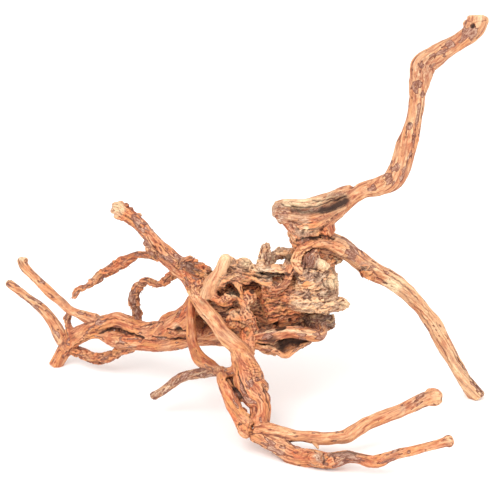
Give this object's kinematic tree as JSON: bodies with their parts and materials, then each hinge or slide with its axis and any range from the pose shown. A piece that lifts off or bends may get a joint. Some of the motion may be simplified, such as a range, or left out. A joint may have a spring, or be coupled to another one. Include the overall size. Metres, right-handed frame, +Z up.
{
  "type": "spiderwood root",
  "caption": "Gnarled, branching piece of dried root wood that stands on three low points, for an aquarium or terrarium display.",
  "frame": {"origin": "middle of the bounding box, at the surface that the root stands on", "axes": "+X across to the right, seen from the front; +Y to the back; +Z up"},
  "size_m": [0.5022, 0.3248, 0.393],
  "materials": {
    "bare_root_wood": "bare dried root wood with patches of dark inner bark, matt"
  },
  "bodies": {
    "root": {"spiderwood_root": "bare_root_wood"}
  },
  "joints": []
}
